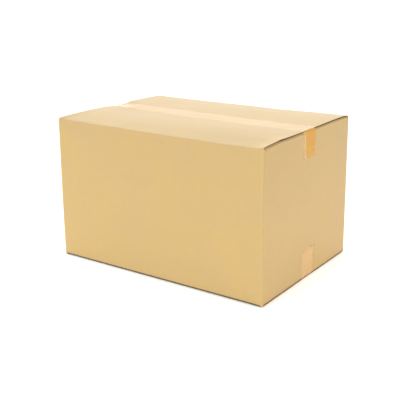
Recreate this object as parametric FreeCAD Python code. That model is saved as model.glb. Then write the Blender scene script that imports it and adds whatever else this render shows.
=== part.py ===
import FreeCAD, Part
import math
import os

from FreeCAD import Vector as V

# Closed regular slotted carton, folded from one sheet of single wall
# corrugated board, with one strip of packing tape over the top seam and one
# under the bottom seam. Millimetres, +Z up. The origin is the middle of the
# footprint, on the surface the box stands on. X runs along the long sides.

# ---------------------------------------------------------------- dimensions
LENGTH = 470.0            # outside, over the two end panels (X)
WIDTH = 325.0             # outside, over the two long panels (Y)
HEIGHT = 282.5            # outside, at the long folds of the top flaps (Z)
BOARD = 4.0               # single wall board, two liners and one fluting
LINER = 0.5               # thickness of each liner as seen at a cut edge
FOLD_R = 3.5              # outside radius of the flap folds
CORNER_R = 3.0            # outside radius of the upright corner folds

FLAP_DEPTH = 161.75       # every flap is half the width deep, less the seam
SEAM_GAP = 1.5            # gap between the two outer flaps along the middle
FLAP_INSET = 3.0          # outer flap ends stop this far inside the end faces
INNER_FLAP_HALF = 157.0   # half the width of an inner flap
SLOT_PAST_FOLD = 4.5      # slots are cut this far past the inner flap fold

TOP_RIDGE_Y = 107.0       # where the outer top flaps stand highest
TOP_RIDGE_RISE = 4.0      # how far they stand above their fold there
TOP_FLAT_HALF = 48.0      # flat middle strip that the tape holds down
TOP_FLAT_RISE = 2.0       # its height above the fold
TOP_NEST = 0.3            # gap between inner and outer flap at the top fold

BASE_FLAT_HALF = 44.0     # half the width of the slightly raised base middle
BASE_RISE = 0.5           # so the tape lies clear of the floor
BASE_SLOPE = 8.0          # width of the step beside it
BASE_NEST = 0.8           # gap between inner and outer flap at the base fold

CHANNEL_DEPTH = 4.0       # open channel between the liners at a cut flap end

TAB_WIDTH = 36.0          # glue tab of the maker's joint, inside the left end
TAB_Z0, TAB_Z1 = 10.0, 272.0
TAB_TAPER = 10.0
JOINT_STANDOFF = 0.8      # raw edge of the left end panel stops this far short

TAPE_WIDTH = 48.0
TAPE = 0.1                # film and adhesive
TOP_TAPE_Y_RIGHT = -3.0   # middle of the top tape at the right end
TOP_TAPE_Y_LEFT = 17.0    # and at the left end: it was laid a little askew
TOP_LEG = 50.0            # how far it runs down each end, from the top
BASE_TAPE_Y = 5.5         # middle of the base tape
BASE_LEG = 60.0           # how far it runs up each end, from the floor

# ------------------------------------------------------------- derived sizes
HX, HY = LENGTH / 2.0, WIDTH / 2.0
SEAM = SEAM_GAP / 2.0
TOP_INNER_Z = HEIGHT - BOARD - TOP_NEST      # top of the inner top flaps
BASE_INNER_Z = BOARD + BASE_NEST             # underside of the inner base flaps
SLOT_TOP_Z = TOP_INNER_Z - SLOT_PAST_FOLD
SLOT_BASE_Z = BASE_INNER_Z + SLOT_PAST_FOLD
FLAP_END = HX - FLAP_INSET
BACK_LEFT_END = HX - BOARD - 1.5             # back flaps stop short of the joint


# ------------------------------------------------------------------ helpers
def box(x0, x1, y0, y1, z0, z1):
    return Part.makeBox(x1 - x0, y1 - y0, z1 - z0, V(x0, y0, z0))


def rounded_outline(points):
    """Closed outline through (a, b, radius) corners as (start, end) edges."""
    n = len(points)
    feet = []
    for i in range(n):
        a, b, r = points[i]
        p = V(a, b, 0)
        q0 = V(points[i - 1][0], points[i - 1][1], 0)
        q1 = V(points[(i + 1) % n][0], points[(i + 1) % n][1], 0)
        if r <= 0:
            feet.append((p, p, p))
            continue
        u = (q0 - p).normalize()
        w = (q1 - p).normalize()
        half = math.acos(max(-1.0, min(1.0, u.dot(w)))) / 2.0
        t = r / math.tan(half)
        start, end = p + u * t, p + w * t
        bis = (u + w).normalize()
        mid = p + bis * (r / math.sin(half) - r)
        feet.append((start, mid, end))
    edges = []
    for i in range(n):
        start, mid, end = feet[i]
        if (start - end).Length > 1e-9:
            edges.append(Part.Arc(start, mid, end).toShape())
        nxt = feet[(i + 1) % n][0]
        if (nxt - end).Length > 1e-9:
            edges.append(Part.LineSegment(end, nxt).toShape())
    return edges


def to_yz(edge_list, x):
    """Turn edges drawn in (a, b) into the plane X = x with a = Y and b = Z."""
    m = FreeCAD.Matrix(0, 0, 1, x,
                       1, 0, 0, 0,
                       0, 1, 0, 0,
                       0, 0, 0, 1)
    return [e.transformed(m) for e in edge_list]


def prism_x(edge_list, x0, x1):
    face = Part.Face(Part.Wire(to_yz(edge_list, x0)))
    return face.extrude(V(x1 - x0, 0, 0))


def prism_y(edge_list, y0, y1):
    """Edges drawn in (X, Z), extruded along Y."""
    m = FreeCAD.Matrix(1, 0, 0, 0,
                       0, 0, -1, y0,
                       0, 1, 0, 0,
                       0, 0, 0, 1)
    wire = Part.Wire([e.transformed(m) for e in edge_list])
    return Part.Face(wire).extrude(V(0, y1 - y0, 0))


def arch(z_shift):
    """Bowed line of an outer top flap from its fold to the flat middle."""
    z = HEIGHT + z_shift
    pts = [V(-HY + FOLD_R, z, 0),
           V(-HY + 0.55 * (HY - TOP_RIDGE_Y), z + 0.70 * TOP_RIDGE_RISE, 0),
           V(-TOP_RIDGE_Y, z + TOP_RIDGE_RISE, 0),
           V(-(TOP_RIDGE_Y + TOP_FLAT_HALF) / 2.0,
             z + 0.5 * (TOP_RIDGE_RISE + TOP_FLAT_RISE) + 0.15, 0),
           V(-TOP_FLAT_HALF, z + TOP_FLAT_RISE, 0)]
    curve = Part.BSplineCurve()
    curve.interpolate(Points=pts,
                      InitialTangent=V(28.0, 2.0, 0), FinalTangent=V(28.0, -0.5, 0))
    return curve, pts[0], pts[-1]


# ---------------------------------------------------------- top outer flaps
def top_flap_outline():
    """Front half: short stretch of the long panel, fold, bowed flap."""
    upper, u0, u1 = arch(0.0)
    lower, l0, l1 = arch(-BOARD)
    fold_mid = V(-HY + FOLD_R * (1 - math.sqrt(0.5)),
                 HEIGHT - FOLD_R * (1 - math.sqrt(0.5)), 0)
    inner = V(-HY + BOARD, HEIGHT - BOARD, 0)
    seq = [Part.LineSegment(V(-HY, SLOT_TOP_Z, 0), V(-HY, HEIGHT - FOLD_R, 0)),
           Part.Arc(V(-HY, HEIGHT - FOLD_R, 0), fold_mid, u0),
           upper,
           Part.LineSegment(u1, V(-SEAM, u1.y, 0)),
           Part.LineSegment(V(-SEAM, u1.y, 0), V(-SEAM, l1.y, 0)),
           Part.LineSegment(V(-SEAM, l1.y, 0), l1),
           lower,
           Part.LineSegment(l0, inner),
           Part.LineSegment(inner, V(-HY + BOARD, SLOT_TOP_Z, 0)),
           Part.LineSegment(V(-HY + BOARD, SLOT_TOP_Z, 0), V(-HY, SLOT_TOP_Z, 0))]
    return [s.toShape() for s in seq]


def top_channel_outline():
    """Space between the liners of the same flap, seen at its cut ends."""
    upper, u0, u1 = arch(-LINER)
    lower, l0, l1 = arch(-BOARD + LINER)
    seq = [upper,
           Part.LineSegment(u1, V(-SEAM - 1.0, u1.y, 0)),
           Part.LineSegment(V(-SEAM - 1.0, u1.y, 0), V(-SEAM - 1.0, l1.y, 0)),
           Part.LineSegment(V(-SEAM - 1.0, l1.y, 0), l1),
           lower,
           Part.LineSegment(l0, u0)]
    return [s.toShape() for s in seq]


def mirror_y(shape):
    return shape.mirror(V(0, 0, 0), V(0, 1, 0))


def mirror_x(shape):
    return shape.mirror(V(0, 0, 0), V(1, 0, 0))


def base_flap_outline():
    f, s, b = BASE_FLAT_HALF, BASE_SLOPE, BASE_RISE
    return rounded_outline([
        (-HY, SLOT_BASE_Z, 0), (-HY, 0.0, FOLD_R), (-(f + s), 0.0, 0),
        (-f, b, 0), (-SEAM, b, 0), (-SEAM, BOARD + b, 0), (-f, BOARD + b, 0),
        (-(f + s), BOARD, 0), (-HY + BOARD, BOARD, 0),
        (-HY + BOARD, SLOT_BASE_Z, 0)])


def base_channel_outline():
    f, s, b, k = BASE_FLAT_HALF, BASE_SLOPE, BASE_RISE, LINER
    return rounded_outline([
        (-HY + FOLD_R + 1.0, k, 0), (-(f + s), k, 0), (-f, b + k, 0),
        (-SEAM - 1.0, b + k, 0), (-SEAM - 1.0, BOARD + b - k, 0),
        (-f, BOARD + b - k, 0), (-(f + s), BOARD - k, 0),
        (-HY + FOLD_R + 1.0, BOARD - k, 0)])


def outer_flap(outline, channel, x0, x1):
    body = prism_x(outline, x0, x1)
    left = prism_x(channel, x0 - 1.0, x0 + CHANNEL_DEPTH)
    right = prism_x(channel, x1 - CHANNEL_DEPTH, x1 + 1.0)
    return body.cut([left, right])


top_front = outer_flap(top_flap_outline(), top_channel_outline(), -FLAP_END, FLAP_END)
top_back = mirror_y(outer_flap(top_flap_outline(), top_channel_outline(),
                               -BACK_LEFT_END, FLAP_END))
base_front = outer_flap(base_flap_outline(), base_channel_outline(), -FLAP_END, FLAP_END)
base_back = mirror_y(outer_flap(base_flap_outline(), base_channel_outline(),
                                -BACK_LEFT_END, FLAP_END))


# -------------------------------------------------------------- inner flaps
INNER_X = HX - FLAP_DEPTH


def inner_flap(top):
    """Right end: flap plate, its fold, and the stub of panel by the slots."""
    if top:
        z_out, z_in, slot = TOP_INNER_Z, TOP_INNER_Z - BOARD, SLOT_TOP_Z
    else:
        z_out, z_in, slot = BASE_INNER_Z, BASE_INNER_Z + BOARD, SLOT_BASE_Z
    edges = rounded_outline([
        (HX - BOARD, slot, 0), (HX, slot, 0), (HX, z_out, FOLD_R),
        (INNER_X, z_out, 0), (INNER_X, z_in, 0), (HX - BOARD, z_in, 0)])
    return prism_y(edges, -INNER_FLAP_HALF, INNER_FLAP_HALF)


inner_parts = []
for is_top in (True, False):
    right = inner_flap(is_top)
    inner_parts += [right, mirror_x(right)]


# ------------------------------------------------------- four upright panels
def upright(points, z0=SLOT_BASE_Z, z1=SLOT_TOP_Z):
    face = Part.Face(Part.Wire(rounded_outline(points)))
    face.translate(V(0, 0, z0))
    return face.extrude(V(0, 0, z1 - z0))


outside = upright([(-HX, -HY, CORNER_R), (HX, -HY, CORNER_R),
                   (HX, HY, CORNER_R), (-HX, HY, CORNER_R)])
inside = box(-HX + BOARD, HX - BOARD, -HY + BOARD, HY - BOARD,
             SLOT_BASE_Z - 1, SLOT_TOP_Z + 1)
tube = outside.cut(inside)

# The maker's joint, at the back left corner: the back panel folds into a tab
# that lies glued against the inside of the left end panel, whose raw upright
# edge stops just short of the corner.
JX, JY = -HX + BOARD, HY                     # outside corner of the tab's fold
tube = tube.cut(box(-HX - 1, JX + 6.0, HY - BOARD - 5.0, HY + 1,
                    SLOT_BASE_Z - 1, SLOT_TOP_Z + 1))
end_edge = box(-HX, -HX + BOARD, HY - BOARD - 5.0, HY - JOINT_STANDOFF,
               SLOT_BASE_Z, SLOT_TOP_Z)
end_edge = end_edge.cut(box(-HX + LINER, -HX + BOARD - LINER,
                            HY - JOINT_STANDOFF - CHANNEL_DEPTH, HY,
                            SLOT_BASE_Z - 1, SLOT_TOP_Z + 1))
tab_fold = upright([(JX, JY, CORNER_R), (JX, JY - BOARD, 0),
                    (JX + 6.0, JY - BOARD, 0), (JX + 6.0, JY, 0)])
ty0, ty1 = HY - BOARD - TAB_WIDTH, HY - BOARD
tab_edges = rounded_outline([(ty1, TAB_Z0, 0), (ty0, TAB_Z0 + TAB_TAPER, 2.0),
                             (ty0, TAB_Z1 - TAB_TAPER, 2.0), (ty1, TAB_Z1, 0)])
tab = prism_x(tab_edges, JX, JX + BOARD)

carton = tube.fuse([end_edge, tab_fold, tab, top_front, top_back,
                    base_front, base_back] + inner_parts)
carton = carton.removeSplitter()
if carton.ShapeType != "Solid":
    carton = carton.Solids[0] if len(carton.Solids) == 1 else carton


# ------------------------------------------------------------ packing tapes
def offset_left(path, d):
    """Mitred copy of an open path, moved d to its left."""
    out = []
    n = len(path)
    for i in range(n):
        dirs = []
        if i > 0:
            dirs.append((path[i] - path[i - 1]).normalize())
        if i < n - 1:
            dirs.append((path[i + 1] - path[i]).normalize())
        normals = [V(-u.y, u.x, 0) for u in dirs]
        if len(normals) == 1:
            out.append(path[i] + normals[0] * d)
        else:
            s = (normals[0] + normals[1])
            s = s * (1.0 / (1.0 + normals[0].dot(normals[1])))
            out.append(path[i] + s * d)
    return out


def strip(path, y0, y1):
    """Thin film on the left of a path drawn in (X, Z), from y0 to y1."""
    outer = offset_left(path, TAPE)
    ring = path + outer[::-1]
    edges = [Part.LineSegment(ring[i], ring[(i + 1) % len(ring)]).toShape()
             for i in range(len(ring))]
    return prism_y(edges, y0, y1)


top_z = HEIGHT + TOP_FLAT_RISE
LEAN = 5.0                # the film leaves the flap edge and meets the end here
top_path = [V(HX, top_z - TOP_LEG, 0), V(HX, top_z - LEAN, 0),
            V(FLAP_END, top_z, 0), V(-FLAP_END, top_z, 0),
            V(-HX, top_z - LEAN, 0), V(-HX, top_z - TOP_LEG, 0)]
top_path_out = [V(p.x, p.y, 0) for p in reversed(top_path)]
top_film = strip(top_path_out, -TOP_FLAT_HALF, TOP_FLAT_HALF)
half = TAPE_WIDTH / 2.0
reach = HX + 1.0
slope = (TOP_TAPE_Y_RIGHT - TOP_TAPE_Y_LEFT) / LENGTH
mid = (TOP_TAPE_Y_RIGHT + TOP_TAPE_Y_LEFT) / 2.0
corners = [V(-reach, mid - slope * reach - half, top_z - 60),
           V(reach, mid + slope * reach - half, top_z - 60),
           V(reach, mid + slope * reach + half, top_z - 60),
           V(-reach, mid - slope * reach + half, top_z - 60)]
keep = Part.Face(Part.makePolygon(corners + corners[:1])).extrude(V(0, 0, 70))
top_tape = top_film.common(keep)

base_z = BASE_RISE
base_path = [V(-HX, BASE_LEG, 0), V(-HX, base_z + LEAN, 0), V(-FLAP_END, base_z, 0),
             V(FLAP_END, base_z, 0), V(HX, base_z + LEAN, 0), V(HX, BASE_LEG, 0)]
base_path_out = [V(p.x, p.y, 0) for p in reversed(base_path)]
bottom_tape = strip(base_path_out, BASE_TAPE_Y - half, BASE_TAPE_Y + half)


# --------------------------------------------------------------------- write
os.makedirs("parts", exist_ok=True)
for name, shape in (("carton", carton), ("top_tape", top_tape),
                    ("bottom_tape", bottom_tape)):
    solids = shape.Solids
    bb = shape.BoundBox
    print("%-12s %s solids=%d valid=%s closed=%s volume=%.1f  x %.2f..%.2f  y %.2f..%.2f  z %.2f..%.2f"
          % (name, shape.ShapeType, len(solids), shape.isValid(),
             all(s.isClosed() for s in solids), shape.Volume,
             bb.XMin, bb.XMax, bb.YMin, bb.YMax, bb.ZMin, bb.ZMax))
    if len(solids) != 1:
        raise SystemExit(name + " should be one solid")
    solids[0].exportStep("parts/" + name + ".step")
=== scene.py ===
import math

import bpy
from mathutils import Matrix, Vector, noise


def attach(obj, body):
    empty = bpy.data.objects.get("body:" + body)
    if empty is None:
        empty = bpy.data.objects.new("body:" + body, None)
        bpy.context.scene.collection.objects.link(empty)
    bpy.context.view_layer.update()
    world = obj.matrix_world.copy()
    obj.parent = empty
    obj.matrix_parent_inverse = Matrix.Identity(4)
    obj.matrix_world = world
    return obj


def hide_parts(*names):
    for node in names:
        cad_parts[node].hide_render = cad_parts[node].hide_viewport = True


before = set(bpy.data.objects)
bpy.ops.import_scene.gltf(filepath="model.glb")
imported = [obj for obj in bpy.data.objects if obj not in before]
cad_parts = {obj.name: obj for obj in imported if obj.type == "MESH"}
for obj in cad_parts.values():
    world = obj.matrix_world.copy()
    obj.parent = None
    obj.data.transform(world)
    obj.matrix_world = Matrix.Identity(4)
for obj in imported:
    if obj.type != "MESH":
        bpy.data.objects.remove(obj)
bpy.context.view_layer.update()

# A closed slotted carton folded from one sheet of single wall board, with a
# strip of clear tape over the top seam and one under the base seam.
# Lengths in this script are millimetres until a mesh is made.
MM = 0.001
HX, HY, H, T = 235.0, 162.5, 282.5, 4.0
CORNER_R = 2.0            # upright corner folds, outside
INNER_R = 2.3             # folds of the inner flaps, outside
TOP_INNER, BASE_INNER = 278.2, 4.8
SLOT_TOP, SLOT_BASE = 274.3, 8.8
FLAP_DEPTH = 161.75
INNER_HALF = 157.0
CHANNEL = 4.6


# ------------------------------------------------------------ small helpers
def smooth(a, b, v):
    """0 at a, 1 at b, eased."""
    t = (v - a) / (b - a)
    t = 0.0 if t < 0.0 else 1.0 if t > 1.0 else t
    return t * t * (3.0 - 2.0 * t)


def curve(points):
    """Smooth function through (position, value) points, level outside them."""
    xs = [p[0] for p in points]
    ys = [p[1] for p in points]
    n = len(xs)
    slopes = []
    for i in range(n):
        if i in (0, n - 1):
            slopes.append(0.0)
            continue
        a = (ys[i] - ys[i - 1]) / (xs[i] - xs[i - 1])
        b = (ys[i + 1] - ys[i]) / (xs[i + 1] - xs[i])
        slopes.append(0.0 if a * b <= 0 else 2 * a * b / (a + b))
    slopes[0] = 1.2 * (ys[1] - ys[0]) / (xs[1] - xs[0])
    slopes[-1] = 1.2 * (ys[-1] - ys[-2]) / (xs[-1] - xs[-2])

    def f(v):
        if v <= xs[0]:
            return ys[0]
        if v >= xs[-1]:
            return ys[-1]
        i = 0
        while v > xs[i + 1]:
            i += 1
        h = xs[i + 1] - xs[i]
        t = (v - xs[i]) / h
        t2, t3 = t * t, t * t * t
        return ((2 * t3 - 3 * t2 + 1) * ys[i] + (t3 - 2 * t2 + t) * h * slopes[i]
                + (-2 * t3 + 3 * t2) * ys[i + 1] + (t3 - t2) * h * slopes[i + 1])
    return f


def ticks(a, b, step, near=(1.2, 3.0, 6.0, 10.0)):
    """Positions from a to b, closer together beside both ends."""
    lo, hi = min(a, b), max(a, b)
    fine = [d for d in near if d < (hi - lo) * 0.3]
    last = fine[-1] if fine else 0.0
    inner_lo, inner_hi = lo + last, hi - last
    n = max(1, round((inner_hi - inner_lo) / step))
    out = [lo] + [lo + d for d in fine]
    out += [inner_lo + (inner_hi - inner_lo) * i / n for i in range(1, n)]
    out += [hi - d for d in reversed(fine)] + [hi]
    return out if a < b else out[::-1]


# ------------------------------------------- how the folded sheet has settled
# Height of the bowed top above a flat one, across the box: at the left end,
# in the middle and at the right end.
TOP_LEFT = curve([(-162.5, 1.7), (-157, 2.4), (-148, 3.1), (-130, 3.3), (-98, 3.75), (-66, 3.8),
                  (-40, 3.1), (-18, 3.4), (-4, 3.8), (24, 3.6), (48, 3.9), (62, 3.85), (92, 3.75),
                  (116, 3.5), (140, 2.9), (154, 2.0), (162.5, 0.3)])
TOP_MID = curve([(-162.5, 0.0), (-132, 1.5), (-104, 2.3), (-70, 2.0), (-30, 1.3),
                 (0, 1.1), (30, 1.3), (70, 1.8), (104, 1.7), (136, 0.9), (162.5, 0.0)])
TOP_RIGHT = curve([(-162.5, 0.0), (-148, 0.9), (-128, 1.7), (-114, 2.4), (-104, 2.8), (-88, 2.1),
                   (-60, 1.8), (0, 2.0), (36, 2.3), (60, 2.5), (85, 2.8), (130, 2.7), (150, 2.0),
                   (162.5, 0.7)])
# The long front fold rolls over lower between its ends than at them.
FRONT_SAG = curve([(-235, 0.0), (-227, 1.6), (-216, 3.2), (-180, 3.2), (-150, 2.7), (-120, 2.3),
                   (-95, 2.0), (-70, 2.9), (-40, 3.6), (0, 3.9), (40, 4.5), (80, 4.6), (110, 5.0),
                   (150, 5.4), (185, 5.0), (205, 4.6), (218, 3.2), (228, 1.2), (235, 0.0)])
BACK_SAG = curve([(-235, 0.0), (-200, 0.3), (-150, 0.45), (-100, 0.45), (-40, 0.6), (0, 0.5),
                  (50, 0.8), (85, 1.1), (112, 0.4), (150, 0.0), (235, 0.0)])
# The long base folds ride a little above the floor, except at the corners.
BASE_LIFT = curve([(-235, 0.0), (-231, 0.2), (-226, 0.6), (-214, 0.85), (-100, 0.9), (0, 0.9),
                   (100, 0.9), (212, 0.85), (227, 0.6), (232, 0.2), (235, 0.0)])
# How far the panels lean in at the top, and how much taller the back stands.
LEAN_LEFT, LEAN_RIGHT, LEAN_FRONT, LEAN_BACK = 1.7, 0.75, 2.7, 1.8
BACK_RISE = 0.0
BASE_IN = 0.3


def bow(x, y):
    left = smooth(-110.0, -228.0, x)
    right = smooth(110.0, 228.0, x)
    z = TOP_LEFT(y) * left + TOP_RIGHT(y) * right + TOP_MID(y) * (1.0 - left - right)
    # the tape pulls the flap ends down beside the seam at the left end
    z -= 3.1 * smooth(-175.0, -229.0, x) * smooth(-34.0, 8.0, y) * (1.0 - smooth(37.0, 47.0, y))
    return z


def warp(x, y, z):
    """Where a point of the crisp folded sheet lies on the settled box."""
    t = max(0.0, min(1.02, z / H))
    # top: bow of the flaps, shared by everything that lies near it
    up = smooth(205.0, 273.0, z)
    dz = bow(x, y) * up if up > 0 else 0.0
    front = 1.0 - smooth(0.0, 105.0, y + HY)
    dz -= FRONT_SAG(x) * front * smooth(214.0, 278.0, z)
    dz -= BACK_SAG(x) * (1.0 - smooth(0.0, 62.0, HY - y)) * smooth(214.0, 278.0, z)
    dz += BASE_LIFT(x) * (1.0 - smooth(4.0, 34.0, HY - abs(y))) * (1.0 - smooth(6.0, 60.0, z))
    # the front panel rolls in a little under its sagging fold
    dy = 0.55 * FRONT_SAG(x) * (1.0 - smooth(0.0, 12.0, y + HY)) * smooth(254.0, 281.0, z) ** 2
    # panels dish in slightly between their folds
    up_mid = math.sin(math.pi * min(1.0, max(0.0, z / H)))
    side = smooth(0.86, 0.985, abs(y) / HY)
    end = smooth(0.90, 0.985, abs(x) / HX)
    across = math.cos(math.pi * x / (2 * HX)) if abs(x) < HX else 0.0
    along = math.cos(math.pi * y / (2 * HY)) if abs(y) < HY else 0.0
    dy += (-1 if y > 0 else 1) * side * 1.1 * across * up_mid
    dx = (-1 if x > 0 else 1) * end * 0.8 * along * up_mid
    # faint unevenness of the board, none where it stands on the floor
    q = Vector((x / 95.0, y / 95.0, z / 95.0))
    k = smooth(4.0, 40.0, z)
    dx += 0.22 * k * noise.noise(q + Vector((7.1, 0.3, 2.2)))
    dy += 0.22 * k * noise.noise(q + Vector((1.7, 9.4, 5.0)))
    dz += 0.28 * k * smooth(150.0, 270.0, z) * noise.noise(q + Vector((4.6, 3.9, 8.8)))
    lean = t ** 1.6
    fx, fy = 0.5 + 0.5 * x / HX, 0.5 + 0.5 * y / HY
    x2 = x * (1.0 - BASE_IN / HX) + lean * (LEAN_LEFT * (1.0 - fx) - LEAN_RIGHT * fx) + dx
    y2 = y * (1.0 - BASE_IN / HY) + lean * (LEAN_FRONT * (1.0 - fy) - LEAN_BACK * fy) + dy
    return x2, y2, z + dz + BACK_RISE * smooth(-0.1, 1.1, fy) * t


# ----------------------------------------------------------------- the sheet
class Sheet:
    """One sheet with an outer and an inner face, later closed at its rims."""

    def __init__(self):
        self.outer, self.inner = [], []
        self.flat, self.fold = [], []
        self.recess = []          # direction into the board at a cut end
        self.quads = []

    def add(self, po, pi, flat, fold, recess=None):
        self.outer.append(po)
        self.inner.append(pi)
        self.flat.append(flat)
        self.fold.append(fold)
        self.recess.append(recess)
        return len(self.outer) - 1


sheet = Sheet()
columns = []       # each: panel, s, outer xy, inner xy, u


def near_fold(d):
    """1 on a fold, falling to 0 within about 7 mm of it."""
    return max(0.0, 1.0 - abs(d) / 7.0) ** 1.5


u_now = 0.0


def add_panel(name, values, outer, inner):
    global u_now
    prev = None
    for s in values:
        if prev is not None:
            u_now += abs(s - prev)
        prev = s
        d = min(abs(s - values[0]), abs(s - values[-1]))
        if name == "tab":
            d = abs(s - values[-1])
        if name == "left":
            d = abs(s - values[0])
        columns.append((name, s, outer(s), inner(s), u_now, near_fold(d)))


def add_corner(cx, cy, sx, sy, a0, a1, steps=5):
    """Outside corner at (cx, cy); sx, sy point from it into the box."""
    global u_now
    ox, oy = cx + sx * CORNER_R, cy + sy * CORNER_R
    ix, iy = cx + sx * (T + 0.3), cy + sy * (T + 0.3)
    step = CORNER_R * abs(a1 - a0) / (steps + 1)
    for i in range(1, steps + 1):
        a = a0 + (a1 - a0) * i / (steps + 1)
        u_now += step
        c, s = math.cos(a), math.sin(a)
        columns.append(("corner", 0.0, (ox + CORNER_R * c, oy + CORNER_R * s),
                        (ix + 0.3 * c, iy + 0.3 * s), u_now, 1.0))
    u_now += step


def linear(a, b, c, d):
    return lambda s: c + (s - a) * (d - c) / (b - a)


R = CORNER_R
tab_in = linear(122.5, HY - R, 122.5, HY - 4.3)
add_panel("tab", ticks(122.5, HY - R, 9.0, (1.5, 4.0)),
          lambda s: (-HX + T + 0.1, s), lambda s: (-HX + 2 * T, tab_in(s)))
add_corner(-HX + T + 0.1, HY, 1, -1, math.pi, math.pi / 2)
back_in = linear(-228.0, HX - R, -226.7, HX - 4.3)
add_panel("back", ticks(-228.0, HX - R, 8.0),
          lambda s: (s, HY), lambda s: (back_in(s), HY - T))
add_corner(HX, HY, -1, -1, math.pi / 2, 0.0)
end_in = linear(HY - R, -HY + R, HY - 4.3, -HY + 4.3)
right_s = ticks(HY - R, INNER_HALF, 9.0, (0.8,)) + ticks(INNER_HALF, -INNER_HALF, 8.0)[1:] \
    + ticks(-INNER_HALF, -HY + R, 9.0, (0.8,))[1:]
add_panel("right", right_s, lambda s: (HX, s), lambda s: (HX - T, end_in(s)))
add_corner(HX, -HY, -1, 1, 0.0, -math.pi / 2)
front_in = linear(HX - R, -HX + R, HX - 4.3, -HX + 4.3)
add_panel("front", ticks(HX - R, -HX + R, 8.0),
          lambda s: (s, -HY), lambda s: (front_in(s), -HY + T))
add_corner(-HX, -HY, 1, 1, -math.pi / 2, -math.pi)
left_in = linear(-HY + R, HY - 0.8, -HY + 4.3, HY - 0.8)
left_s = ticks(-HY + R, -INNER_HALF, 9.0, (0.8,)) + ticks(-INNER_HALF, INNER_HALF, 8.0)[1:] \
    + ticks(INNER_HALF, HY - 0.8, 9.0, (1.2,))[1:]
add_panel("left", left_s, lambda s: (-HX, s), lambda s: (-HX + T, left_in(s)))

walls_z = ticks(SLOT_BASE, SLOT_TOP, 9.0, (1.2, 3.0, 6.0, 11.0))
NW = len(walls_z)
# Height of the slot's closed end at each upright corner, top and base. At the
# right front corner the top slot is cut a little deeper.
SLOT_ENDS = {"right_front": (279.2, 1.3), "right_back": (281.0, 1.6),
             "left_front": (278.8, 1.4), "left_back": (279.0, 1.6)}


def fold_r(s, top):
    """Outside radius of a long flap fold: crisp at its ends, softer between."""
    return 1.8 + 1.4 * smooth(232.0, 206.0, abs(s)) if top else 3.0


def wall_limits(col):
    """Height range of a column; the tab's free edge is cut shorter."""
    panel, s, (x, y) = col[0], col[1], col[2]
    if panel == "tab":
        f = (HY - R - s) / (HY - R - 122.5)
        return SLOT_BASE + 0.7 + 10.0 * f, SLOT_TOP - 1.2 - 10.0 * f
    top, base = SLOT_ENDS[("right" if x > 0 else "left") + ("_front" if y < 0 else "_back")]
    if panel in ("front", "back"):
        k = smooth(232.0, 226.0, abs(s))
        return (base + (fold_r(s, False) + 0.6 - base) * k,
                top + (H - fold_r(s, True) - 0.6 - top) * k)
    if panel in ("right", "left"):
        k = smooth(HY - R, INNER_HALF, abs(s))
        return base + (SLOT_BASE - base) * k, top + (SLOT_TOP - top) * k
    return base, top


grid = []
for ci, col in enumerate(columns):
    lo, hi = wall_limits(col)
    rec = None
    if ci == len(columns) - 1:
        rec = (0.0, -1.0, 0.0)
    line = []
    for z in walls_z:
        zz = lo + (z - SLOT_BASE) * (hi - lo) / (SLOT_TOP - SLOT_BASE)
        fold = max(col[5], near_fold(zz - 0.5), near_fold(H - 1.0 - zz))
        if col[0] in ("right", "left"):
            fold = max(fold, near_fold(zz - BASE_INNER - 1), near_fold(TOP_INNER - 1 - zz))
        line.append(sheet.add((col[2][0], col[2][1], zz), (col[3][0], col[3][1], zz),
                              (col[4], zz), fold, rec))
    grid.append(line)
for ci in range(len(columns) - 1):
    for r in range(NW - 1):
        sheet.quads.append((grid[ci][r], grid[ci][r + 1], grid[ci + 1][r + 1], grid[ci + 1][r]))

ARC = [math.radians(a) for a in (15, 30, 45, 60, 75, 90)]


def base_raise(y):
    return 0.5 * (1.0 - smooth(44.0, 52.0, abs(y)))


FLAP_T = [t for t in ticks(0.0, 1.0, 0.05, (0.012, 0.03, 0.055))][1:]


def flap_rows(panel, top, s, z0):
    """Rows of one flap at position s, from the wall's last row to its edge.

    Each row is (p_out, p_in, v, fold, blend), where a point is (across,
    height) and across is the distance in from the panel's outside face.
    """
    long_panel = panel in ("front", "back")
    r = fold_r(s, top) if long_panel else INNER_R
    if top:
        z_fold, sgn = (H if long_panel else TOP_INNER), 1.0
    else:
        z_fold, sgn = (0.0 if long_panel else BASE_INNER), -1.0
    z_arc = z_fold - sgn * r
    rows = []
    extra = 1
    for i in range(1, extra + 1):
        z = z0 + (z_arc - z0) * i / extra
        rows.append(((0.0, z), (T, z), z, near_fold(abs(z_fold - z) - 1), i / extra))
    for a in ARC:
        c, s = math.cos(a), math.sin(a)
        po = (r - r * c, z_arc + sgn * r * s)
        pi = (T + 0.3 - 0.3 * c, z_fold - sgn * (T + 0.3) + sgn * 0.3 * s)
        rows.append((po, pi, z_arc + sgn * r * a, 1.0, 1.0))
    v_arc = z_arc + sgn * r * math.pi / 2
    for t in FLAP_T:
        d = r + (FLAP_DEPTH - r) * t
        inner_d = T + 0.3 + (d - r) * (FLAP_DEPTH - T - 0.3) / (FLAP_DEPTH - r)
        rows.append(((d, z_fold), (inner_d, z_fold - sgn * T), v_arc + sgn * (d - r),
                     near_fold(d - r), 1.0))
    return rows


def place(panel, s, point):
    """A flap point (across, height) at position s along its panel."""
    d, z = point
    if panel == "front":
        x, y = s, -HY + d
    elif panel == "back":
        x, y = s, HY - d
    elif panel == "right":
        x, y = HX - d, s
    else:
        x, y = -HX + d, s
    if panel in ("front", "back") and z < 6.0 and d > 10.0:
        z += base_raise(y)
    return (x, y, z)


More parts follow.
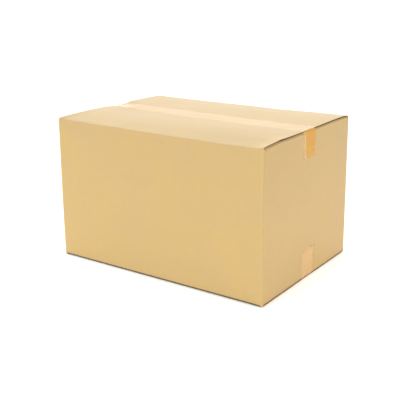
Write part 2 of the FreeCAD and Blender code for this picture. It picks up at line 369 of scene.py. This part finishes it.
def grow_flap(panel, top):
    cols = [i for i, c in enumerate(columns) if c[0] == panel]
    if panel in ("right", "left"):
        cols = [i for i in cols if abs(columns[i][1]) <= INNER_HALF + 1e-6]
    start = NW - 1 if top else 0
    lines = []
    long_panel = panel in ("front", "back")
    for k, ci in enumerate(cols):
        col = columns[ci]
        rec = None
        if long_panel and k in (0, len(cols) - 1):
            rec = (-1.0 if col[1] > 0 else 1.0, 0.0, 0.0)
        lo, hi = wall_limits(col)
        rows = flap_rows(panel, top, col[1], hi if top else lo)
        line = [grid[ci][start]]
        for po, pi, v, fold, blend in rows:
            p = place(panel, col[1], po)
            q = place(panel, col[1], pi)
            if long_panel:      # wall's inner face is narrower at the corner
                xi = col[3][0] + (col[1] - col[3][0]) * blend
                q = (xi, q[1], q[2])
            else:
                yi = col[3][1] + (col[1] - col[3][1]) * blend
                q = (q[0], yi, q[2])
            line.append(sheet.add(p, q, (col[4], v), fold, rec))
        if rec:
            sheet.recess[grid[ci][start]] = rec
        lines.append(line)
    for a in range(len(cols) - 1):
        for r in range(len(rows)):
            q = (lines[a][r], lines[a][r + 1], lines[a + 1][r + 1], lines[a + 1][r])
            sheet.quads.append(q if top else q[::-1])


for panel_name in ("back", "right", "front", "left"):
    grow_flap(panel_name, True)
    grow_flap(panel_name, False)


# ---------------------------------------------------- close it and make a mesh
# How wide the cut edge gapes along the right end of the top, as a share of the
# board's thickness: crushed beside the front corner, open at the ridge.
GAPE_RIGHT = curve([(-162, 0.26), (-128, 0.30), (-112, 0.42), (-103, 0.60), (-94, 0.44), (-70, 0.38),
                    (-30, 0.34), (20, 0.38), (50, 0.42), (160, 0.42)])


def build_carton():
    n = len(sheet.outer)
    verts = [warp(*p) for p in sheet.outer] + [warp(*p) for p in sheet.inner]
    flat = [(u, v, 0.0) for u, v in sheet.flat] + [(u, v, 1.0) for u, v in sheet.flat]
    fold = list(sheet.fold) + [0.0] * n
    # painted shade: the long base folds are darkened where they turn under, standing in for the contact shadow
    # along the floor
    base_contact_shade = [smooth(4.6, 3.0, z) * smooth(HY - 6.0, HY - 3.0, abs(y)) * smooth(HX - 1.0, HX - 7.0, abs(x))
           for x, y, z in sheet.outer] + [0.0] * n
    faces, mats = [], []
    used = {}
    for q in sheet.quads:
        faces.append(q)
        mats.append(0)
        faces.append(tuple(i + n for i in reversed(q)))
        mats.append(0)
        for i in range(4):
            e = (q[i], q[(i + 1) % 4])
            used[e] = used.get(e, 0) + 1
    rim = [e for e in used if (e[1], e[0]) not in used]
    on_rim = sorted({i for e in rim for i in e})
    a_of, d_of, b_of, c_of = {}, {}, {}, {}

    def mix(i, f):
        o, q = sheet.outer[i], sheet.inner[i]
        return tuple(o[k] + (q[k] - o[k]) * f for k in range(3))

    def new(p, i, layer):
        verts.append(warp(*p))
        flat.append((sheet.flat[i][0], sheet.flat[i][1], layer))
        fold.append(0.0)
        base_contact_shade.append(0.0)
        return len(verts) - 1

    channel = set()
    for a, b in rim:
        ra, rb = sheet.recess[a], sheet.recess[b]
        if ra and rb and ra == rb:
            # a run along the cut, not the short turn onto the next edge
            pa, pb = sheet.outer[a], sheet.outer[b]
            along = [abs(pa[k] - pb[k]) for k in range(3)]
            cross = along[0] if abs(ra[0]) > 0.5 else along[1]
            if cross < 1e-6:
                channel.add((a, b))
    in_channel = {i for e in channel for i in e}
    share = {}                # how far the cut gapes: closed at the folds
    for i in on_rim:
        x, y, z = sheet.outer[i]
        if sheet.recess[i] and sheet.recess[i][0]:
            share[i] = smooth(2.5, 9.0, HY - abs(y)) if y < 0 else smooth(4.5, 11.0, HY - y)
        else:
            share[i] = smooth(0.0, 14.0, min(z - SLOT_BASE, SLOT_TOP - z))
        wide = 0.50 if z > 200 else 0.40
        if x > 0 and z > 200:
            wide = GAPE_RIGHT(y)
        gape = 0.14 + (wide - 0.14) * share[i] if i in in_channel else 0.5
        gape *= 1.0 + 0.10 * noise.noise(Vector((sheet.flat[i][0] / 13.0, sheet.flat[i][1] / 15.0, 1.1)))
        a_of[i] = new(mix(i, 0.14), i, 0.3)
        d_of[i] = new(mix(i, 0.14 + gape), i, 0.7)
        share[i] = (share[i], gape)
    for i in sorted(in_channel):
        r = sheet.recess[i]
        u, v = sheet.flat[i]
        k_open, gape = share[i]
        depth = CHANNEL + 1.1 * noise.noise(Vector((u / 9.0, v / 11.0, 3.3))) \
            + 0.8 * math.sin(v / 17.0)
        depth *= 0.25 + 0.75 * k_open
        shift = 0.35 * noise.noise(Vector((u / 5.0, v / 7.0, 8.1)))
        pb = tuple(c + r[k] * depth for k, c in enumerate(mix(i, 0.15)))
        pc = tuple(c + r[k] * (depth * (0.72 + 0.1 * shift))
                   for k, c in enumerate(mix(i, 0.13 + gape)))
        b_of[i] = new(pb, i, 0.5)
        c_of[i] = new(pc, i, 0.5)
    ends = {}
    for e in rim:
        i, j = e
        # the sheet's edge runs i to j with the face on its left, so the rim
        # faces run j to i on the outer side
        o_i, o_j, n_i, n_j = i, j, i + n, j + n
        faces.append((o_j, o_i, a_of[i], a_of[j]))
        mats.append(1)
        if e in channel:
            faces.append((a_of[j], a_of[i], b_of[i], b_of[j]))
            faces.append((b_of[j], b_of[i], c_of[i], c_of[j]))
            faces.append((c_of[j], c_of[i], d_of[i], d_of[j]))
            # material 2, the fluting, is painted dark as shade in the channel
            mats += [2, 2, 2]
            ends[i] = ends.get(i, 0) + 1
            ends[j] = ends.get(j, 0) - 1
        else:
            faces.append((a_of[j], a_of[i], d_of[i], d_of[j]))
            mats.append(1)
        faces.append((d_of[j], d_of[i], n_i, n_j))
        mats.append(1)
    for i, side in ends.items():
        if side == 1:        # the run starts here
            faces.append((a_of[i], d_of[i], c_of[i], b_of[i]))
            mats.append(2)
        elif side == -1:
            faces.append((a_of[i], b_of[i], c_of[i], d_of[i]))
            mats.append(2)
    return verts, faces, mats, flat, fold, base_contact_shade


def to_mesh(name, verts, faces, mats=None, smooth_faces=True, angle=38.0):
    me = bpy.data.meshes.new(name)
    me.from_pydata([(x * MM, y * MM, z * MM) for x, y, z in verts], [], faces)
    if mats:
        me.polygons.foreach_set("material_index", mats)
    me.polygons.foreach_set("use_smooth", [smooth_faces] * len(me.polygons))
    me.update()
    if smooth_faces:
        me.set_sharp_from_angle(angle=math.radians(angle))
    ob = bpy.data.objects.new(name, me)
    bpy.context.scene.collection.objects.link(ob)
    return ob


verts, faces, mats, flat, fold, base_contact_shade = build_carton()
carton = to_mesh("carton_board", verts, faces, mats)
att = carton.data.attributes.new("flat", "FLOAT_VECTOR", "POINT")
att.data.foreach_set("vector", [c * (MM if k < 2 else 1.0) for p in flat for k, c in enumerate(p)])
att = carton.data.attributes.new("fold", "FLOAT", "POINT")
att.data.foreach_set("value", fold)
# the painted contact shade along the long base folds
att = carton.data.attributes.new("base_contact_shade", "FLOAT", "POINT")
att.data.foreach_set("value", base_contact_shade)


# ------------------------------------------------------------------ the tapes
def path_lengths(path):
    out = [0.0]
    for a, b in zip(path, path[1:]):
        out.append(out[-1] + math.hypot(b[0] - a[0], b[1] - a[1]))
    return out


def tape_path(top):
    """Centre line of a tape in (X, Z), right half, from the middle to the cut."""
    if top:
        z, sgn, leg = H, 1.0, 50.0
    else:
        z, sgn, leg = 0.5, -1.0, 59.0
    pts = [(x, z) for x in ticks(0.0, HX - 3.0 - 1.0, 6.0, (0.01, 2.0, 5.0))]
    pts = [p for p in pts if p[0] >= 0]
    bridge = [(HX - 3.0 + 0.1, z - sgn * 0.25), (HX - 2.25, z - sgn * 1.6),
              (HX - 1.25, z - sgn * 3.5), (HX - 0.62, z - sgn * 4.6),
              (HX - 0.20, z - sgn * 5.5), (HX + 0.02, z - sgn * 6.8)]
    pts += bridge
    end = z - sgn * leg
    z0 = z - sgn * 9.0
    n = 12
    pts += [(HX, z0 + (end - z0) * i / n) for i in range(n + 1)]
    return pts


def tape_strip(name, top, y_right, y_left, width, seed):
    right = tape_path(top)
    left = [(-x, z) for x, z in reversed(right)]
    path = left[:-1] + right
    lengths = path_lengths(path)
    total = lengths[-1]
    across = 48
    rows_v, rows_in, uv, bond = [], [], [], []
    sgn = 1.0 if top else -1.0
    n_path = len(path)
    for i, (x, z) in enumerate(path):
        # outward direction of the film
        p0 = path[max(0, i - 1)]
        p1 = path[min(n_path - 1, i + 1)]
        tx, tz = p1[0] - p0[0], p1[1] - p0[1]
        ln = math.hypot(tx, tz) or 1.0
        nx, nz = -tz / ln * sgn, tx / ln * sgn
        if not top:
            nx, nz = tz / ln * 1.0, -tx / ln * 1.0
        else:
            nx, nz = -tz / ln, tx / ln
        yc = y_left + (y_right - y_left) * (x + HX) / (2 * HX)
        for k in range(across + 1):
            w = width * (k / across - 0.5)
            y = yc + w
            l = lengths[i]
            # serrated cut at both ends
            dz_end = 0.0
            if i in (0, n_path - 1):
                dz_end = 0.9 if k % 2 else -0.2
                dz_end += 0.5 * noise.noise(Vector((k / 9.0, seed, 1.0 if i else 2.0)))
            elif i in (1, n_path - 2):
                dz_end = 0.4 * (0.9 if k % 2 else -0.2)
            zz = z - sgn * dz_end
            lift = 0.06
            q = Vector((l / 26.0, y / 13.0, seed))
            b = noise.noise(q) * 0.6 + 0.4 * noise.noise(q * 2.3 + Vector((5, 1, 9)))
            lift += 0.10 * max(0.0, b) ** 1.2
            if abs(x) > HX - 0.2:
                # loose lower end of the leg
                f = smooth(26.0, 2.0, l if x < 0 else total - l)
                lift += 0.10 * f * max(0.0, noise.noise(Vector((y / 9.0, l / 14.0, seed + 4))))
            rows_v.append((x + nx * (lift + 0.04), y, zz + nz * (lift + 0.04)))
            rows_in.append((x + nx * lift, y, zz + nz * lift))
            uv.append((l, w, b))
            leg = abs(x) > HX - 3.0
            if top and leg:
                down = H - z
                good = 1.0 - 0.46 * smooth(27.0, 45.0, down + 3.0 * b)
                good *= 0.12 + 0.88 * smooth(-20.0, -8.0, w + 3.0 * b)
                good *= 0.78 + 0.22 * smooth(3.0, 9.0, down)
            elif top:
                good = 0.22 + 0.36 * smooth(HX - 11.0, HX - 3.5, abs(x)) * smooth(-15.0, -5.0, w)
            else:
                good = 0.32
                if leg:
                    good = 0.36 * (0.15 + 0.85 * smooth(22.0, 14.0, w + 2.0 * b))
                    good *= 0.3 + 0.7 * smooth(59.0, 50.0, z + 3.0 * b)
            bond.append(good)
    m = across + 1
    n = len(rows_v)
    vs = [warp(*p) for p in rows_v] + [warp(*p) for p in rows_in]
    if not top:
        vs = [(a, b, max(0.06, c)) for a, b, c in vs[:n]] + [(a, b, max(0.12, c)) for a, b, c in vs[n:]]
    fs, under = [], []
    for i in range(n_path - 1):
        for k in range(across):
            a, b = i * m + k, i * m + k + 1
            c, d = (i + 1) * m + k + 1, (i + 1) * m + k
            q = (a, b, c, d)
            if top:
                q = q[::-1]
            fs.append(q)
            fs.append(tuple(j + n for j in reversed(q)))
            under += [0, 1]
    border = [i * m for i in range(n_path)] + [(n_path - 1) * m + k for k in range(1, m)] \
        + [i * m + across for i in range(n_path - 2, -1, -1)] + [k for k in range(across - 1, 0, -1)]
    for s in range(len(border)):
        a, b = border[s], border[(s + 1) % len(border)]
        q = (a, b, b + n, a + n)
        if top:
            q = q[::-1]
        fs.append(q)
        under.append(1)
    ob = to_mesh(name, vs, fs, under, True, 50.0)
    t = ob.data.attributes.new("film", "FLOAT_VECTOR", "POINT")
    t.data.foreach_set("vector", [c for _ in (0, 1) for p in uv for c in (p[0] * MM, p[1] * MM, p[2])])
    t = ob.data.attributes.new("bond", "FLOAT", "POINT")
    t.data.foreach_set("value", bond + bond)
    return ob


top_tape = tape_strip("top_seam_tape", True, -3.0, 17.0, 48.0, 3.7)
base_tape = tape_strip("base_seam_tape", False, 5.5, 5.5, 48.0, 8.2)


# ------------------------------------------------------------------ materials
def nodes_of(name):
    mat = bpy.data.materials.new(name)
    mat.use_nodes = True
    nt = mat.node_tree
    nt.nodes.clear()
    return mat, nt, nt.nodes, nt.links


class G:
    """Short hand for building a node tree."""

    def __init__(self, name):
        self.mat, self.nt, self.n, self.l = nodes_of(name)

    def node(self, kind, **kw):
        nd = self.n.new(kind)
        for k, v in kw.items():
            setattr(nd, k, v)
        return nd

    def link(self, a, b):
        self.l.new(a, b)

    def math(self, op, a, b=None, clamp=False):
        nd = self.node("ShaderNodeMath", operation=op, use_clamp=clamp)
        for i, v in enumerate((a, b)):
            if v is None:
                continue
            if isinstance(v, (int, float)):
                nd.inputs[i].default_value = v
            else:
                self.link(v, nd.inputs[i])
        return nd.outputs[0]

    def mapping(self, vec, scale=(1, 1, 1), loc=(0, 0, 0)):
        nd = self.node("ShaderNodeMapping")
        nd.inputs["Scale"].default_value = scale
        nd.inputs["Location"].default_value = loc
        self.link(vec, nd.inputs["Vector"])
        return nd.outputs[0]

    def noise(self, vec, scale, detail=2.0, rough=0.5, distortion=0.0):
        nd = self.node("ShaderNodeTexNoise")
        nd.inputs["Scale"].default_value = scale
        nd.inputs["Detail"].default_value = detail
        nd.inputs["Roughness"].default_value = rough
        nd.inputs["Distortion"].default_value = distortion
        self.link(vec, nd.inputs["Vector"])
        return nd.outputs["Fac"]

    def ramp(self, fac, lo, hi, a=0.0, b=1.0):
        nd = self.node("ShaderNodeMapRange", clamp=True)
        for i, v in zip(("From Min", "From Max", "To Min", "To Max"), (lo, hi, a, b)):
            nd.inputs[i].default_value = v
        self.link(fac, nd.inputs["Value"])
        return nd.outputs[0]

    def mix(self, fac, a, b, blend="MIX"):
        nd = self.node("ShaderNodeMix", data_type="RGBA", blend_type=blend)
        for sock, v in ((nd.inputs[0], fac), (nd.inputs[6], a), (nd.inputs[7], b)):
            if isinstance(v, (int, float)):
                sock.default_value = v
            elif isinstance(v, tuple):
                sock.default_value = (*v, 1.0)
            else:
                self.link(v, sock)
        return nd.outputs[2]

    def attr(self, name):
        nd = self.node("ShaderNodeAttribute", attribute_type="GEOMETRY", attribute_name=name)
        return nd


KRAFT = (0.467, 0.331, 0.1425)
FILM_PALE, FILM_HALF = (0.700, 0.480, 0.180), (0.850, 0.575, 0.270)
FILM_WET, FILM_DEEP = (0.620, 0.330, 0.045), (0.545, 0.272, 0.030)


def kraft(name, base, raw=False):
    g = G(name)
    out = g.node("ShaderNodeOutputMaterial")
    bsdf = g.node("ShaderNodeBsdfPrincipled")
    g.link(bsdf.outputs[0], out.inputs[0])
    bsdf.inputs["Roughness"].default_value = 0.62
    bsdf.inputs["IOR"].default_value = 1.25
    bsdf.inputs["Specular IOR Level"].default_value = 0.03 if raw else 0.5
    vec = g.attr("flat").outputs["Vector"]
    # cloudy formation of the paper
    cloud = g.noise(vec, 14.0, 3.0, 0.55)
    blotch = g.noise(g.mapping(vec, (1, 1, 1), (3.1, 1.7, 0)), 60.0, 3.0, 0.6)
    fibre = g.noise(g.mapping(vec, (0.35, 1.0, 1.0)), 2600.0, 2.0, 0.7)
    fibre2 = g.noise(g.mapping(vec, (1.0, 0.3, 1.0), (0.7, 0, 0)), 1500.0, 2.0, 0.65)
    speck = g.noise(g.mapping(vec, (0.5, 1.0, 1.0), (5.0, 2.0, 0)), 900.0, 1.0, 0.5)
    dark_speck = g.ramp(speck, 0.70, 0.80)
    tone = g.math("ADD", g.ramp(cloud, 0.3, 0.7, -0.012, 0.012), g.ramp(blotch, 0.3, 0.7, -0.010, 0.010))
    tone = g.math("ADD", tone, g.ramp(fibre, 0.25, 0.75, -0.045, 0.045))
    tone = g.math("ADD", tone, g.ramp(fibre2, 0.25, 0.75, -0.03, 0.03))
    # the fluting under the liner shows as faint upright lines, 7.9 mm apart
    wave = g.node("ShaderNodeTexWave", wave_type="BANDS", bands_direction="X", wave_profile="SIN")
    wave.inputs["Scale"].default_value = 2 * math.pi / 0.0079 / 20.0
    wave.inputs["Distortion"].default_value = 0.6
    wave.inputs["Detail"].default_value = 1.0
    wave.inputs["Detail Scale"].default_value = 0.4
    g.link(vec, wave.inputs["Vector"])
    flute = wave.outputs["Fac"]
    tone = g.math("ADD", tone, g.ramp(flute, 0.0, 1.0, -0.004, 0.004))
    tone = g.math("SUBTRACT", tone, g.math("MULTIPLY", dark_speck, 0.10))
    fold_a = g.attr("fold").outputs["Fac"]
    worn = g.math("MULTIPLY", fold_a, g.ramp(g.noise(vec, 420.0, 3.0, 0.6), 0.42, 0.62))
    tone = g.math("ADD", tone, g.math("MULTIPLY", worn, 0.05))
    # painted light: a shade paler low on the walls than high up, standing in for light bounced up off the floor
    v_mm = g.node("ShaderNodeSeparateXYZ")
    g.link(vec, v_mm.inputs[0])
    tone = g.math("ADD", tone, g.ramp(v_mm.outputs["Y"], 0.0, 0.282, 0.050, -0.050))
    # painted contact shadow: darken the long base folds where they meet the floor
    tone = g.math("SUBTRACT", tone, g.math("MULTIPLY", g.attr("base_contact_shade").outputs["Fac"], 0.86))
    bright = g.math("ADD", tone, 1.0)
    col = g.node("ShaderNodeVectorMath", operation="SCALE")
    rgb = g.mix(g.ramp(cloud, 0.35, 0.65), tuple(c * f for c, f in zip(base, (0.995, 1.0, 1.03))),
                tuple(c * f for c, f in zip(base, (1.005, 0.998, 0.95))))
    g.link(rgb, col.inputs[0])
    g.link(bright, col.inputs["Scale"])
    g.link(col.outputs[0], bsdf.inputs["Base Color"])
    height = g.math("ADD", g.math("MULTIPLY", fibre, 0.35), g.math("MULTIPLY", fibre2, 0.35))
    height = g.math("ADD", height, g.math("MULTIPLY", flute, 0.35))
    bump = g.node("ShaderNodeBump")
    bump.inputs["Strength"].default_value = 0.35
    bump.inputs["Distance"].default_value = 0.00006
    g.link(height, bump.inputs["Height"])
    g.link(bump.outputs[0], bsdf.inputs["Normal"])
    rough = g.ramp(fibre2, 0.2, 0.8, 0.38, 0.48)
    g.link(rough, bsdf.inputs["Roughness"])
    return g.mat


board_mat = kraft("kraft_liner", KRAFT)
# the cut edges are darker and browner: partly the raw colour of cut board, partly painted shade of the gap under
# the flap edges
cut_edge_and_shade_mat = kraft("kraft_cut_edge_and_shade", tuple(c * f for c, f in zip(KRAFT, (0.84, 0.77, 0.66))))
# the fluting inside the open channels is painted near black: painted shade in the channels
flute_shade_mat = kraft("kraft_fluting_painted_shade", tuple(c * f for c, f in zip(KRAFT, (0.20, 0.11, 0.03))), raw=True)
for m_ in (board_mat, cut_edge_and_shade_mat, flute_shade_mat):
    carton.data.materials.append(m_)


def film(name, face):
    """The tape's film; its glued face and cut sides are nearly clear."""
    g = G(name)
    out = g.node("ShaderNodeOutputMaterial")
    bsdf = g.node("ShaderNodeBsdfPrincipled")
    g.link(bsdf.outputs[0], out.inputs[0])
    vec = g.attr("film").outputs["Vector"]
    # where the adhesive has wetted the board the film looks deep amber, and
    # elsewhere thin air pockets make it paler
    wet = g.noise(g.mapping(vec, (1.0, 1.6, 1.0)), 60.0, 4.0, 0.6, 0.4)
    lines = g.noise(g.mapping(vec, (0.12, 4.0, 1.0)), 150.0, 2.0, 0.5)
    bond = g.math("ADD", g.attr("bond").outputs["Fac"], g.ramp(wet, 0.3, 0.7, -0.09, 0.09))
    bond = g.math("ADD", bond, g.ramp(lines, 0.3, 0.7, -0.05, 0.05), clamp=True)
    ramp = g.node("ShaderNodeValToRGB")
    el = ramp.color_ramp.elements
    el[0].position, el[0].color = 0.0, (*FILM_PALE, 1.0)
    el[1].position, el[1].color = 1.0, (*FILM_DEEP, 1.0)
    mid = el.new(0.36)
    mid.color = (*FILM_HALF, 1.0)
    mid = el.new(0.55)
    mid.color = (*FILM_WET, 1.0)
    g.link(bond, ramp.inputs["Fac"])
    g.link(ramp.outputs["Color"], bsdf.inputs["Base Color"])
    g.link(g.ramp(bond, 0.0, 0.8, 0.28 if face else 0.03, 0.90 if face else 0.08), bsdf.inputs["Alpha"])
    bsdf.inputs["IOR"].default_value = 1.27
    g.link(g.ramp(lines, 0.2, 0.8, 0.14, 0.26), bsdf.inputs["Roughness"])
    bump = g.node("ShaderNodeBump")
    bump.inputs["Strength"].default_value = 0.22
    bump.inputs["Distance"].default_value = 0.0001
    g.link(g.math("ADD", g.math("MULTIPLY", wet, 0.8), g.math("MULTIPLY", lines, 0.4)), bump.inputs["Height"])
    g.link(bump.outputs[0], bsdf.inputs["Normal"])
    return g.mat


tape_mat = film("clear_amber_tape", True)
glue_mat = film("clear_amber_tape_glue", False)
for ob in (top_tape, base_tape):
    ob.data.materials.append(tape_mat)
    ob.data.materials.append(glue_mat)

# ------------------------------------------------------------ tie to the frame
for piece, node, slot in ((carton, "carton", "kraft_board"), (top_tape, "top_tape", "packing_tape"),
                          (base_tape, "bottom_tape", "packing_tape")):
    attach(piece, "root")
    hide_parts(node)

# --------------------------------------------------------- floor, light, camera
floor_me = bpy.data.meshes.new("studio_floor")
S = 40.0
floor_me.from_pydata([(-S, -S, -0.0001), (S, -S, -0.0001), (S, S, -0.0001), (-S, S, -0.0001)], [], [(0, 1, 2, 3)])
floor = bpy.data.objects.new("studio_floor", floor_me)
bpy.context.scene.collection.objects.link(floor)
g = G("pale_floor")
out = g.node("ShaderNodeOutputMaterial")
bsdf = g.node("ShaderNodeBsdfPrincipled")
bsdf.inputs["Base Color"].default_value = (0.90, 0.90, 0.90, 1)
# a white table top lit faintly from below, which keeps the shadow soft
bsdf.inputs["Emission Color"].default_value = (1.0, 1.0, 1.0, 1.0)
bsdf.inputs["Emission Strength"].default_value = 0.22
bsdf.inputs["Roughness"].default_value = 0.9
bsdf.inputs["Specular IOR Level"].default_value = 0.1
g.link(bsdf.outputs[0], out.inputs[0])
floor_me.materials.append(g.mat)

scene = bpy.context.scene
world = bpy.data.worlds.new("studio")
scene.world = world
world.use_nodes = True
wt = world.node_tree
bg = wt.nodes["Background"]
# white all round, a little dimmer overhead, dimmer and warmer on the right, with a large
# soft white panel low behind the box
tc = wt.nodes.new("ShaderNodeTexCoord")
sep = wt.nodes.new("ShaderNodeSeparateXYZ")
wt.links.new(tc.outputs["Generated"], sep.inputs[0])


def world_range(sock, lo, hi, out_lo, out_hi):
    n = wt.nodes.new("ShaderNodeMapRange")
    n.interpolation_type = "SMOOTHSTEP"
    for name, val in (("From Min", lo), ("From Max", hi), ("To Min", out_lo), ("To Max", out_hi)):
        n.inputs[name].default_value = val
    wt.links.new(sock, n.inputs["Value"])
    return n.outputs[0]


def world_math(op, a, b):
    n = wt.nodes.new("ShaderNodeMath")
    n.operation = op
    wt.links.new(a, n.inputs[0])
    wt.links.new(b, n.inputs[1])
    return n.outputs[0]


toward = wt.nodes.new("ShaderNodeVectorMath")
toward.operation = "DOT_PRODUCT"
wt.links.new(tc.outputs["Generated"], toward.inputs[0])
toward.inputs[1].default_value = (-0.53, 0.74, 0.42)
sky = world_range(sep.outputs["Z"], 0.25, 0.95, 1.52, 1.25)
sky = world_math("MULTIPLY", sky, world_range(sep.outputs["X"], -0.2, 0.9, 1.0, 0.78))
sky = world_math("ADD", sky, world_range(toward.outputs["Value"], 0.30, 0.97, 0.0, 0.92))
tint = wt.nodes.new("ShaderNodeMix")
tint.data_type = "RGBA"
wt.links.new(world_range(sep.outputs["X"], 0.0, 0.8, 0.0, 1.0), tint.inputs["Factor"])
tint.inputs[6].default_value = (1.0, 1.0, 1.0, 1.0)
tint.inputs[7].default_value = (0.970, 0.895, 0.870, 1.0)
wt.links.new(tint.outputs[2], bg.inputs[0])
wt.links.new(sky, bg.inputs["Strength"])

scene.view_settings.view_transform = "Standard"
scene.view_settings.look = "None"
scene.view_settings.exposure = 0.0
scene.view_settings.gamma = 1.0

CAM = dict(az=35.413, el=17.158, roll=-0.731, dist=1521.64, ox=7.266, oz=26.069, f=760.565, mid=141.0)
az, el, roll = (math.radians(CAM[k]) for k in ("az", "el", "roll"))
back = Vector((math.sin(az) * math.cos(el), -math.cos(az) * math.cos(el), math.sin(el)))
right = Vector((math.cos(az), math.sin(az), 0.0))
up = back.cross(right)
eye = Vector((0, 0, CAM["mid"])) - right * CAM["ox"] - up * CAM["oz"] + back * CAM["dist"]
r2 = right * math.cos(roll) + up * math.sin(roll)
u2 = -right * math.sin(roll) + up * math.cos(roll)
cam_data = bpy.data.cameras.new("camera")
cam_data.sensor_width = 36.0
cam_data.lens = CAM["f"] / 400.0 * 36.0
cam_data.clip_start, cam_data.clip_end = 0.05, 200.0
cam = bpy.data.objects.new("camera", cam_data)
scene.collection.objects.link(cam)
m = Matrix((r2, u2, back)).transposed().to_4x4()
m.translation = eye * MM
cam.matrix_world = m
scene.camera = cam


def soft_light(name, size, watts, at, aim, colour=(1, 1, 1)):
    ld = bpy.data.lights.new(name, "AREA")
    ld.shape = "RECTANGLE"
    ld.size, ld.size_y = size
    ld.energy = watts
    ld.color = colour
    lo = bpy.data.objects.new(name, ld)
    scene.collection.objects.link(lo)
    lo.location = at
    lo.rotation_mode = "QUATERNION"
    lo.rotation_quaternion = (Vector(aim) - Vector(at)).to_track_quat("-Z", "Y")
    return lo


soft_light("key", (1.6, 1.6), 14.0, (-0.9, -2.5, 1.1), (0, 0, 0.10))
soft_light("fill", (0.6, 0.08), 0.25, (0.62, 0.0, 0.05), (0.235, 0, 0.04), (1.0, 0.95, 0.93))
